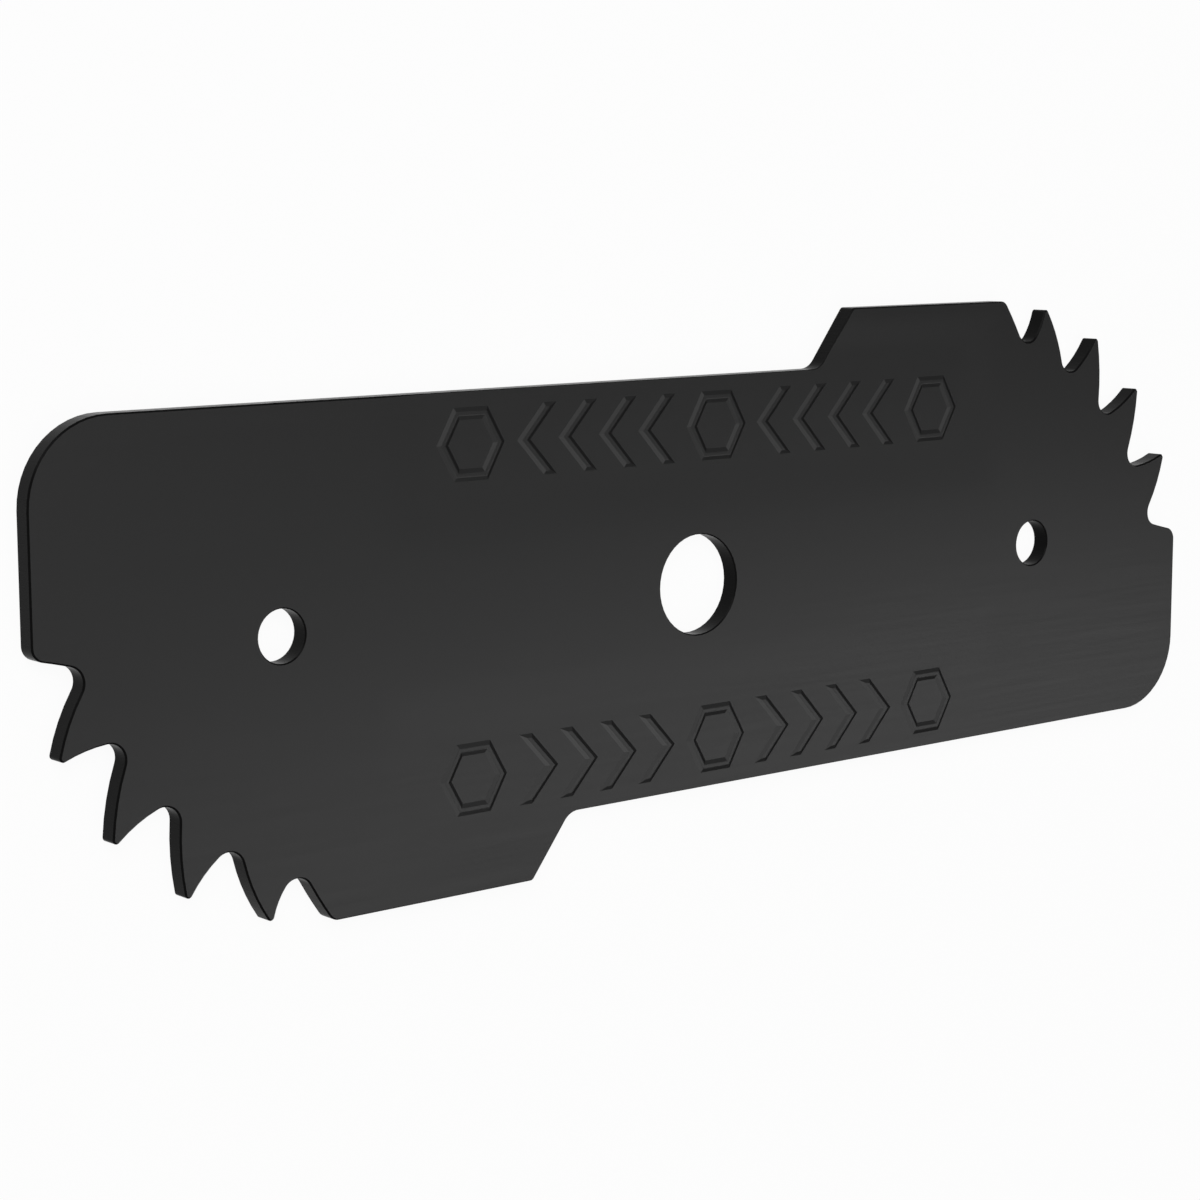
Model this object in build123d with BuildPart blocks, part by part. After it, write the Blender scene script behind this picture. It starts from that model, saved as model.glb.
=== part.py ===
from build123d import *
from math import cos, radians, sin, tan
import os

# Lawn edger blade: one flat piece of stamped sheet steel that spins about its middle hole.
# The two ends are alike, half a turn apart, so one half outline is drawn and turned about.
# It lies with its marked face up: +X along its length, +Z up, and the origin at the centre
# of the spindle hole on the face that it rests on. All sizes are in millimetres.

# Sheet and bar
length = 190.5
thickness = 2.35
narrow_half_width = 26.5
wide_half_width = 34.3
plain_corner_radius = 10.0
edge_break = 0.2

# Step from the narrow edge up to the wide one
step_foot_x = 21.3
step_angle = 52.5
step_foot_radius = 2.7
step_head_radius = 0.7

# Saw tips, on a round corner that runs into the wide edge and the end
tip_circle_radius = 37.3
last_tip_angle = 3.65
tip_pitch_angle = 18.7
tip_radius = 0.5
first_gullet_lead = 0.85
first_gullet_edge_radius = 1.6
end_corner_radius = 1.7

# Gullets between the tips, deepest on the diagonal of the corner
diagonal_angle = 45.0
valley_circle_radius = 51.0
valley_depth = 9.8
middle_valley_angle = 45.5
valley_pitch_angle = 10.65
gullet_radius = 2.0

# Flanks of each gullet, from the wide edge round to the end. A gullet runs down the bulging
# back of one tooth and up the hollow face of the next, which leads as the blade turns.
tooth_back_radii = (50.0, 22.0, 31.0, 29.5, 23.0)
tooth_face_radii = (9.0, 15.5, 17.0, 17.5, 80.0)

# Holes
spindle_hole_diameter = 12.9
side_hole_diameter = 6.35
side_hole_spacing = 127.0
hole_edge_break = 0.15


def on_circle(centre, radius, angle):
    """The point of a circle at an angle in degrees from +X."""
    return centre + Vector(radius * cos(radians(angle)), radius * sin(radians(angle)))


# Corners of the plain part of the half outline
half_length = length / 2
step_run = (wide_half_width - narrow_half_width) / tan(radians(step_angle))
plain_corner = Vector(-half_length, narrow_half_width)
step_foot = Vector(step_foot_x, narrow_half_width)
step_head = Vector(step_foot_x + step_run, wide_half_width)

# Tips and valleys as they stand before they are rounded, from the wide edge round to the end.
# The first gullet starts on the wide edge, a little ahead of the round corner.
gullet_count = len(tooth_back_radii)
tip_centre = Vector(half_length - tip_circle_radius, wide_half_width - tip_circle_radius)
wide_edge_end = Vector(tip_centre.X - first_gullet_lead, wide_half_width)
last_tip = on_circle(tip_centre, tip_circle_radius, last_tip_angle)
end_corner = Vector(half_length, last_tip.Y)
saw_tips = [
    on_circle(tip_centre, tip_circle_radius, last_tip_angle + tip_pitch_angle * steps)
    for steps in reversed(range(1, gullet_count))
]
tips = [wide_edge_end, *saw_tips, end_corner]

valley_centre_shift = valley_circle_radius + valley_depth - tip_circle_radius
valley_centre = on_circle(tip_centre, -valley_centre_shift, diagonal_angle)
first_valley_angle = middle_valley_angle + valley_pitch_angle * (gullet_count - 1) / 2
valleys = [
    on_circle(valley_centre, valley_circle_radius, first_valley_angle - valley_pitch_angle * steps)
    for steps in range(gullet_count)
]


def corners_at(sketch, points):
    """The sketch's corners at these points and at the same points half a turn round."""
    both_ends = points + [point * -1 for point in points]
    return [sketch.vertices().sort_by_distance(point)[0] for point in both_ends]


with BuildPart() as edger_blade:
    with BuildSketch() as blank:
        with BuildLine() as outline:
            Polyline(end_corner * -1, plain_corner, step_foot, step_head, wide_edge_end)
            for place, valley in enumerate(valleys):
                RadiusArc(tips[place], valley, tooth_back_radii[place])
                RadiusArc(valley, tips[place + 1], -tooth_face_radii[place])
            add(outline.line, rotation=180)
        make_face()
        fillet(corners_at(blank, [plain_corner]), plain_corner_radius)
        fillet(corners_at(blank, [step_foot]), step_foot_radius)
        fillet(corners_at(blank, [step_head]), step_head_radius)
        fillet(corners_at(blank, [wide_edge_end]), first_gullet_edge_radius)
        fillet(corners_at(blank, [end_corner]), end_corner_radius)
        fillet(corners_at(blank, valleys), gullet_radius)
        fillet(corners_at(blank, saw_tips), tip_radius)

        Circle(spindle_hole_diameter / 2, mode=Mode.SUBTRACT)
        with GridLocations(side_hole_spacing, 0, 2, 1):
            Circle(side_hole_diameter / 2, mode=Mode.SUBTRACT)
    extrude(amount=thickness)

    # The punches break the edges on the face that they enter
    top_face = edger_blade.faces().sort_by(Axis.Z)[-1]
    chamfer(top_face.outer_wire().edges(), edge_break)
    hole_rims = edger_blade.faces().sort_by(Axis.Z)[-1].inner_wires().edges()
    chamfer(hole_rims, hole_edge_break)

edger_blade.part.label = "edger_blade"

os.makedirs("parts", exist_ok=True)
export_step(edger_blade.part, "parts/edger_blade.step")
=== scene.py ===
from math import atan2, cos, degrees, hypot, pi, radians, sin

import bmesh
import bpy
from mathutils import Matrix, Quaternion, Vector


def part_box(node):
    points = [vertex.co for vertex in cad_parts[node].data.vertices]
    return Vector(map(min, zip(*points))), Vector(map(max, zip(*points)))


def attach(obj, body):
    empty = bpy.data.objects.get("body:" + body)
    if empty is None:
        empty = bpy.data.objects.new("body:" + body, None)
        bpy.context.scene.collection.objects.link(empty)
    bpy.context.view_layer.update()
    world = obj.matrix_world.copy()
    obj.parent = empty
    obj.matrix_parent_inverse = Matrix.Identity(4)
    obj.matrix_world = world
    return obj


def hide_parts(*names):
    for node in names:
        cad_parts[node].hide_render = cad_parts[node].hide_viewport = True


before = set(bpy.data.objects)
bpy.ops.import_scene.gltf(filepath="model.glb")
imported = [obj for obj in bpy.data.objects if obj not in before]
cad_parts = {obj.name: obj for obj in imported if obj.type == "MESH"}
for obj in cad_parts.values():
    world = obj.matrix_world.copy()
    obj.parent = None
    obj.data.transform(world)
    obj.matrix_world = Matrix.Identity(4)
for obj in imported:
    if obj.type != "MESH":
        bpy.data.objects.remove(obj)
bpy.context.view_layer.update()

# The blade is one flat bar of hardened sheet steel. It is punched from a strip together with its
# teeth and three holes, which the CAD solid gives, and a die coins two rows of marks in one face
# before the coating. Its sizes here are in millimetres.
MM = 0.001
sheet_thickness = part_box("edger_blade")[1].z / MM

# The marks are nut outlines, for the side that the nut goes on, and chevrons, for the way that
# the blade turns. Both rows stand a little to the right of the spindle hole, and the upper one
# is turned half a turn, so that each has its foot towards its own side of the blade.
row_length = 88.8
row_middle_x = 3.0
row_middle_y = 20.2
mark_height = 8.8
stroke_width = 1.5
nuts_in_row = 3
nut_sides = 6
groups_in_row = 2
chevrons_in_group = 4
chevron_reach = 4.1
chevron_pitch = 6.4

# The die presses the row's ground down, and the metal rises into the marks with sloping sides.
# The ground runs out slowly into the open face, and beside the narrow part of the bar it runs
# over the sheet's edge.
ground_depth = 0.12
mark_rise = 0.06
slope_width = 0.49
crest_width = 0.08
crest_drop = 0.01
ground_margin = 0.5
edge_margin = 3.6
run_out = 8.5
edge_run_out = 5.3
run_out_steps = 8

nut_width = mark_height / cos(pi / nut_sides)
arm_width = stroke_width * hypot(chevron_reach, mark_height / 2) / (mark_height / 2)
chevron_width = chevron_reach + arm_width
group_width = chevron_pitch * (chevrons_in_group - 1) + chevron_width
spare_length = row_length - nuts_in_row * nut_width - groups_in_row * group_width
gap_beside_nut = spare_length / (2 * groups_in_row)


def hexagon(across_flats):
    """Corners of a nut's outline, anticlockwise."""
    radius = across_flats / 2 / cos(pi / nut_sides)
    angles = [k * 2 * pi / nut_sides for k in range(nut_sides)]
    return [Vector((radius * cos(angle), radius * sin(angle))) for angle in angles]


def nut_outlines():
    """A nut seen end on: its outside anticlockwise, and the hole in the mark clockwise."""
    return [hexagon(mark_height), hexagon(mark_height - 2 * stroke_width)[::-1]]


def chevron_outlines():
    """A chevron that points to +X, anticlockwise."""
    left = -chevron_width / 2
    half_height = mark_height / 2
    return [[
        Vector((left, -half_height)),
        Vector((left + arm_width, -half_height)),
        Vector((left + chevron_width, 0)),
        Vector((left + arm_width, half_height)),
        Vector((left, half_height)),
        Vector((left + chevron_reach, 0)),
    ]]


def grown(outline, distance):
    """The outline moved away from the metal on its left, with mitred corners."""
    befores = outline[-1:] + outline[:-1]
    afters = outline[1:] + outline[:1]
    moved = []
    for before, corner, after in zip(befores, outline, afters):
        side_in = (corner - before).normalized()
        side_out = (after - corner).normalized()
        normal_in = Vector((side_in.y, -side_in.x))
        normal_out = Vector((side_out.y, -side_out.x))
        mitre = (normal_in + normal_out) / (1 + normal_in.dot(normal_out))
        moved.append(corner + mitre * distance)
    return moved


# Each die goes a little further than the metal that it forms, so that no faces lie on each other.
die_spare = 0.1


def mark_levels(outlines):
    """Outlines and heights of a mark, from inside the sheet up its slope to its crest."""
    slope = slope_width / (ground_depth + mark_rise - crest_drop)
    steps = (
        (slope * die_spare, -ground_depth - die_spare),
        (-slope_width, mark_rise - crest_drop),
        (-slope_width - crest_width, mark_rise),
    )
    return [
        ([grown(outline, growth) for outline in outlines], height)
        for growth, height in steps
    ]


def ground_levels():
    """Outlines and heights of a row's pressed ground, from its floor up to the open face."""
    levels = []
    for step in range(run_out_steps + 1):
        share = step / run_out_steps
        risen = share * share * (3 - 2 * share)
        end = row_length / 2 + ground_margin + run_out * share
        edge_side = -(mark_height / 2 + edge_margin + edge_run_out * share)
        inner_side = mark_height / 2 + ground_margin + run_out * share
        corners = ((-end, edge_side), (end, edge_side), (end, inner_side), (-end, inner_side))
        outline = [Vector(corner) for corner in corners]
        levels.append(([outline], ground_depth * (risen - 1)))
    levels.append((levels[-1][0], die_spare))
    return levels


def add_loft(mesh, levels, place):
    """Adds a closed solid through outlines at rising heights, placed by a matrix."""
    rings = [
        [
            [mesh.verts.new(place @ Vector((*point, height))) for point in outline]
            for outline in outlines
        ]
        for outlines, height in levels
    ]
    for lower, upper in zip(rings[:-1], rings[1:]):
        for low_ring, high_ring in zip(lower, upper):
            for k in range(len(low_ring)):
                after = (k + 1) % len(low_ring)
                side = (low_ring[k], low_ring[after], high_ring[after], high_ring[k])
                mesh.faces.new(side)
    for end in (rings[0], rings[-1]):
        rim = [mesh.edges.get((ring[k - 1], ring[k])) for ring in end for k in range(len(ring))]
        bmesh.ops.triangle_fill(mesh, edges=rim, use_beauty=True)


def row_places():
    """The two rows on the face, each with local +Y towards the blade's middle."""
    for side, angle in ((-1, 0), (1, pi)):
        place = Matrix.Translation((row_middle_x, side * row_middle_y, sheet_thickness))
        yield place @ Matrix.Rotation(angle, 4, "Z")


def marks_in_row():
    """The outlines of each mark of a row with its place along the row."""
    stride = nut_width + group_width + 2 * gap_beside_nut
    for nut in range(nuts_in_row):
        yield nut_outlines(), (nut - (nuts_in_row - 1) / 2) * stride
    for group in range(groups_in_row):
        middle = (group - (groups_in_row - 1) / 2) * stride
        for k in range(chevrons_in_group):
            along = middle + (k - (chevrons_in_group - 1) / 2) * chevron_pitch
            yield chevron_outlines(), along


def mesh_object(name, mesh):
    """A new object from a bmesh, linked to the scene."""
    bmesh.ops.recalc_face_normals(mesh, faces=mesh.faces)
    data = bpy.data.meshes.new(name)
    mesh.to_mesh(data)
    mesh.free()
    made = bpy.data.objects.new(name, data)
    bpy.context.scene.collection.objects.link(made)
    return made


ground_die = bmesh.new()
mark_die = bmesh.new()
for row in row_places():
    add_loft(ground_die, ground_levels(), row)
    for outlines, along in marks_in_row():
        add_loft(mark_die, mark_levels(outlines), row @ Matrix.Translation((along, 0, 0)))

# The plain sheet is a copy of the CAD solid's mesh, pressed in millimetres, where the die's
# finest steps stay well above a Boolean's tolerance. Points this close together are one point.
same_point = 1e-4
sheet = bmesh.new()
sheet.from_mesh(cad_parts["edger_blade"].data)
bmesh.ops.transform(sheet, matrix=Matrix.Scale(1 / MM, 4), verts=sheet.verts)
bmesh.ops.remove_doubles(sheet, verts=sheet.verts, dist=same_point)
plain = mesh_object("plain_sheet", sheet)
dies = {
    "DIFFERENCE": mesh_object("ground_die", ground_die),
    "UNION": mesh_object("mark_die", mark_die),
}
for operation, die in dies.items():
    press = plain.modifiers.new(operation.lower(), "BOOLEAN")
    press.operation = operation
    press.object = die
    press.solver = "EXACT"
bpy.context.view_layer.update()
pressed = plain.evaluated_get(bpy.context.evaluated_depsgraph_get())
blade = bpy.data.objects.new("blade", bpy.data.meshes.new_from_object(pressed))
bpy.context.scene.collection.objects.link(blade)
blade.data.materials.clear()
for used in (plain, *dies.values()):
    bpy.data.objects.remove(used)

# Rolled faces and sheared walls meet at sharp edges. Curved walls, slopes and the ground are
# smooth: there the tilt stays the same and the turn is small, or both faces lie nearly flat.
# The angles are in degrees. A face counts as sheared where its normal rises less than wall_rise,
# which takes in the broken edges; all these faces take the edge coat with its painted shade.
same_tilt = 2.5
nearly_flat = 8.0
arc_step = 32.0
wall_rise = 0.8
up = Vector((0, 0, 1))


def smooth_across(first, second):
    """Whether two faces with these normals belong to one smooth surface."""
    tilts = [degrees(normal.angle(up)) for normal in (first, second)]
    turn = abs(atan2(first.y, first.x) - atan2(second.y, second.x))
    turn = degrees(min(turn, 2 * pi - turn))
    alike = abs(tilts[0] - tilts[1]) < same_tilt
    return alike and (max(tilts) < nearly_flat or turn < arc_step)


shaded = bmesh.new()
shaded.from_mesh(blade.data)
bmesh.ops.triangulate(shaded, faces=shaded.faces)
bmesh.ops.dissolve_degenerate(shaded, dist=same_point, edges=shaded.edges)
for face in shaded.faces:
    face.smooth = True
    face.material_index = 1 if abs(face.normal.z) < wall_rise else 0
for edge in shaded.edges:
    if len(edge.link_faces) == 2:
        edge.smooth = smooth_across(*(face.normal for face in edge.link_faces))
bmesh.ops.transform(shaded, matrix=Matrix.Scale(MM, 4), verts=shaded.verts)
shaded.to_mesh(blade.data)
shaded.free()
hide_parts("edger_blade")
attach(blade, "root")


def linear(hex_colour):
    """An sRGB hex colour as linear red, green, blue and alpha."""
    parts = [int(hex_colour[k:k + 2], 16) / 255 for k in (1, 3, 5)]
    return [p / 12.92 if p <= 0.04045 else ((p + 0.055) / 1.055) ** 2.4 for p in parts] + [1.0]


def add_node(tree, kind, settings, links=()):
    """Adds a node with its properties, and its inputs' values and links by name or number."""
    node = tree.nodes.new(kind)
    for name, value in settings.items():
        if isinstance(name, str) and hasattr(node, name):
            setattr(node, name, value)
        else:
            node.inputs[name].default_value = value
    for name, output in dict(links).items():
        tree.links.new(output, node.inputs[name])
    return node


def new_material(name):
    """An empty node material and its tree."""
    material = bpy.data.materials.new(name)
    material.use_nodes = True
    material.node_tree.nodes.clear()
    return material, material.node_tree


# Noise values lie mostly between these two, and each finish spreads its roughness over them.
noise_span = {"From Min": 0.3, "From Max": 0.7}

# Black electrocoat on the rolled face is a thin even film that is baked on. It gives the eye a
# deep black with a satin sheen, drawn out along the strip's grain, and a trace of peel. Real
# rolling grain is finer than the render shows, so it is drawn coarser, 22 mm by 0.55 mm.
grain_length = 22
grain_width = 0.55
grain_height = 0.35e-6
peel_size = 1.4
peel_height = 1.2e-6
film, tree = new_material("black_electrocoat_on_rolled_face")
place = add_node(tree, "ShaderNodeTexCoord", {})
peel = add_node(tree, "ShaderNodeTexNoise", {"Scale": 1 / (peel_size * MM), "Detail": 2.0},
                {"Vector": place.outputs["Object"]})
grain_scale = [1 / (size * MM) for size in (grain_length, grain_width, grain_width)]
drawn_out = add_node(tree, "ShaderNodeMapping", {"Scale": grain_scale},
                     {"Vector": place.outputs["Object"]})
grain = add_node(tree, "ShaderNodeTexNoise", {"Scale": 1.0, "Detail": 3.0},
                 {"Vector": drawn_out.outputs["Vector"]})
gloss = add_node(tree, "ShaderNodeMapRange", {**noise_span, "To Min": 0.275, "To Max": 0.305},
                 {"Value": grain.outputs["Fac"]})
grain_relief = add_node(tree, "ShaderNodeBump", {"Strength": 1.0, "Distance": grain_height},
                        {"Height": grain.outputs["Fac"]})
peel_relief = add_node(tree, "ShaderNodeBump", {"Strength": 1.0, "Distance": peel_height},
                       {"Height": peel.outputs["Fac"], "Normal": grain_relief.outputs["Normal"]})
coat = add_node(tree, "ShaderNodeBsdfPrincipled", {"Base Color": linear("#181818")},
                {"Roughness": gloss.outputs["Result"], "Normal": peel_relief.outputs["Normal"]})
add_node(tree, "ShaderNodeOutputMaterial", {}, {"Surface": coat.outputs["BSDF"]})
blade.data.materials.append(film)

# The same electrocoat on the sheared edge, over upright score lines and a torn band. Its darker
# colour and its specular level, far under a plain film's, are painted shade: they make the edge
# a dull dark rim round the satin face. The score lines are drawn coarser than real, 0.4 mm by 6
# mm.
score_width = 0.4
score_length = 6
score_height = 4e-6
film, tree = new_material("black_electrocoat_on_sheared_edge_painted_shade")
place = add_node(tree, "ShaderNodeTexCoord", {})
score_scale = [1 / (size * MM) for size in (score_width, score_width, score_length)]
upright = add_node(tree, "ShaderNodeMapping", {"Scale": score_scale},
                   {"Vector": place.outputs["Object"]})
score = add_node(tree, "ShaderNodeTexNoise", {"Scale": 1.0, "Detail": 3.0},
                 {"Vector": upright.outputs["Vector"]})
gloss = add_node(tree, "ShaderNodeMapRange", {**noise_span, "To Min": 0.2, "To Max": 0.32},
                 {"Value": score.outputs["Fac"]})
score_relief = add_node(tree, "ShaderNodeBump", {"Strength": 1.0, "Distance": score_height},
                        {"Height": score.outputs["Fac"]})
# Painted shade: a darker base than the face's film and a cut specular level.
coat = add_node(tree, "ShaderNodeBsdfPrincipled",
                {"Base Color": linear("#141414"), "Specular IOR Level": 0.03},
                {"Roughness": gloss.outputs["Result"], "Normal": score_relief.outputs["Normal"]})
add_node(tree, "ShaderNodeOutputMaterial", {}, {"Surface": coat.outputs["BSDF"]})
blade.data.materials.append(film)

# The floor is a plain table top with a white laminate face, pressed on under heat, and the blade
# lies on it with nothing between. Its size is in metres.
floor_side = 6.0
square = ((-1, -1), (1, -1), (1, 1), (-1, 1))
corners = [(x * floor_side / 2, y * floor_side / 2, 0) for x, y in square]
floor_mesh = bpy.data.meshes.new("floor")
floor_mesh.from_pydata(corners, [], [(0, 1, 2, 3)])
floor = bpy.data.objects.new("floor", floor_mesh)
bpy.context.scene.collection.objects.link(floor)

# White laminate is an even matt white. It gives the eye a plain white ground, also where the coat
# mirrors it, and the share of the lit matt face that is left keeps the blade's faint shadow.
white_share = 0.94
laminate, tree = new_material("white_laminate_table_top")
path = add_node(tree, "ShaderNodeLightPath", {})
seen_or_mirrored = add_node(
    tree, "ShaderNodeMath", {"operation": "MAXIMUM"},
    {0: path.outputs["Is Camera Ray"], 1: path.outputs["Is Glossy Ray"]})
seen = add_node(
    tree, "ShaderNodeMath", {"operation": "MAXIMUM"},
    {0: seen_or_mirrored.outputs[0], 1: path.outputs["Is Transmission Ray"]})
share = add_node(tree, "ShaderNodeMath", {"operation": "MULTIPLY", 1: white_share},
                 {0: seen.outputs[0]})
matt = add_node(tree, "ShaderNodeBsdfDiffuse", {"Color": linear("#f7f7f7")})
white = add_node(tree, "ShaderNodeEmission", {"Strength": 1.0})
mixed = add_node(tree, "ShaderNodeMixShader", {},
                 {0: share.outputs[0], 1: matt.outputs[0], 2: white.outputs[0]})
add_node(tree, "ShaderNodeOutputMaterial", {}, {"Surface": mixed.outputs[0]})
floor_mesh.materials.append(laminate)

# The studio is a grey room round the table, dark near its floor and lighter towards its ceiling.
# The heights are those of a direction's unit vector, and the light is the room's strength there.
dark_height, light_height = 0.36, 0.99
floor_light, ceiling_light = 0.03, 0.49
world = bpy.data.worlds.new("studio")
bpy.context.scene.world = world
world.use_nodes = True
tree = world.node_tree
room = tree.nodes["Background"]
direction = add_node(tree, "ShaderNodeTexCoord", {})
height = add_node(tree, "ShaderNodeSeparateXYZ", {}, {0: direction.outputs["Generated"]})
level = add_node(tree, "ShaderNodeMapRange",
                 {"From Min": dark_height, "From Max": light_height,
                  "To Min": floor_light, "To Max": ceiling_light},
                 {"Value": height.outputs["Z"]})
tree.links.new(level.outputs["Result"], room.inputs["Strength"])
room.inputs["Color"].default_value = (1, 1, 1, 1)


# Four soft boxes of white cloth stand round the table on arms, about a metre away. Their sizes
# and distances are in metres, and their angles in degrees.
def soft_box(name, azimuth, elevation, distance, width, height, radiance, turn=0):
    """An area lamp that points at the blade, with its surface as bright as named."""
    lamp = bpy.data.lights.new(name, "AREA")
    lamp.shape = "RECTANGLE"
    lamp.size, lamp.size_y = width, height
    lamp.energy = radiance * pi * width * height
    box = bpy.data.objects.new(name, lamp)
    aside, raised = radians(azimuth), radians(elevation)
    way = Vector((cos(raised) * cos(aside), cos(raised) * sin(aside), sin(raised)))
    box.location = way * distance
    box.rotation_mode = "QUATERNION"
    facing = (-box.location).to_track_quat("-Z", "Y")
    box.rotation_quaternion = facing @ Quaternion((0, 0, 1), radians(turn))
    bpy.context.scene.collection.objects.link(box)


soft_box("key", azimuth=126, elevation=42, distance=1.2,
         width=0.78, height=0.78, radiance=3.44)
soft_box("overhead", azimuth=-76.5, elevation=45, distance=1.2,
         width=0.65, height=0.65, radiance=1.37)
soft_box("far_fill", azimuth=55, elevation=75, distance=1.2,
         width=0.7, height=0.7, radiance=0.584)
soft_box("long_strip", azimuth=-21, elevation=47, distance=1.0,
         width=0.12, height=0.64, radiance=1.5, turn=30.5)

# The camera stands at the photograph's viewing angle, above the blade's left end. It has an 85 mm
# lens on a 36 mm frame, and the blade's width stands upright in its picture.
camera_place = Vector((-239.7, 51.3, 266.0 + sheet_thickness)) * MM
camera_aim = Vector((-16.5, -0.4, sheet_thickness)) * MM
camera_roll = -0.125
blade_width_way = Vector((0, 1, 0))
lens = bpy.data.cameras.new("camera")
lens.lens = 85
lens.sensor_width = 36
lens.clip_start = 0.01
camera = bpy.data.objects.new("camera", lens)
bpy.context.scene.collection.objects.link(camera)
forward = (camera_aim - camera_place).normalized()
right = forward.cross(blade_width_way).normalized()
upward = right.cross(forward)
camera.matrix_world = (
    Matrix.Translation(camera_place)
    @ Matrix((right, upward, -forward)).transposed().to_4x4()
    @ Matrix.Rotation(radians(camera_roll), 4, "Z")
)
bpy.context.scene.camera = camera
bpy.context.scene.view_settings.view_transform = "Standard"
